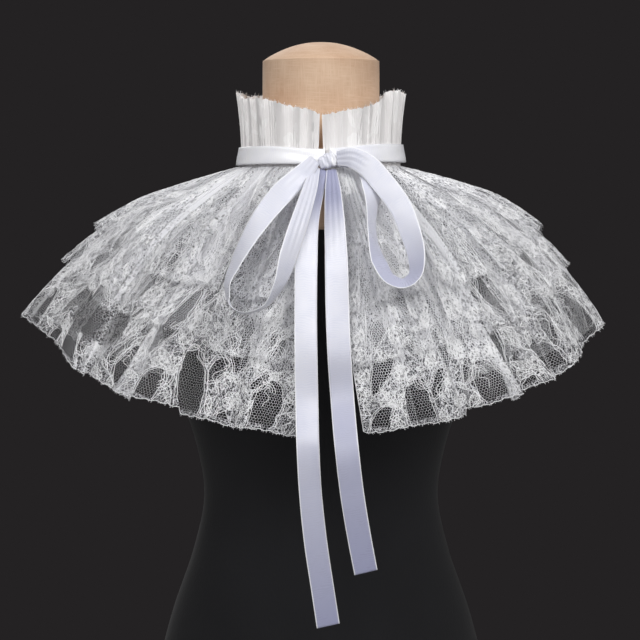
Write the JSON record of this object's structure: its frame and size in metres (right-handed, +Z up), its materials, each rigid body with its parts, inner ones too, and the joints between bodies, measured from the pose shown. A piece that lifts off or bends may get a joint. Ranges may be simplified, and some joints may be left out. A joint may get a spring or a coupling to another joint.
{
  "type": "detachable lace collar on a dress form",
  "caption": "Stand-up gathered lace neck frill over a capelet of three lace tiers, tied with a satin ribbon bow, resting on a limbless dress form.",
  "frame": {"origin": "centre of the dress form's flat base, on the surface that it stands on", "axes": "+Z up along the form, -Y the wearer's front with the bow, +X the wearer's left"},
  "size_m": [0.5753, 0.3957, 0.7213],
  "materials": {
    "lace": "matte white raschel lace",
    "satin_ribbon": "white satin with a cool lilac sheen",
    "linen": "plain tan linen stretched tight",
    "form_cover": "matte black jersey"
  },
  "bodies": {
    "root": {"neck_frill": "lace", "tier_top": "lace", "tier_middle": "lace", "tier_bottom": "lace", "neck_ribbon": "satin_ribbon", "bow_knot": "satin_ribbon", "bow_loop_left": "satin_ribbon", "bow_loop_right": "satin_ribbon", "ribbon_tail_left": "satin_ribbon", "ribbon_tail_right": "satin_ribbon", "form_neck": "linen", "form_body": "form_cover"}
  },
  "joints": []
}
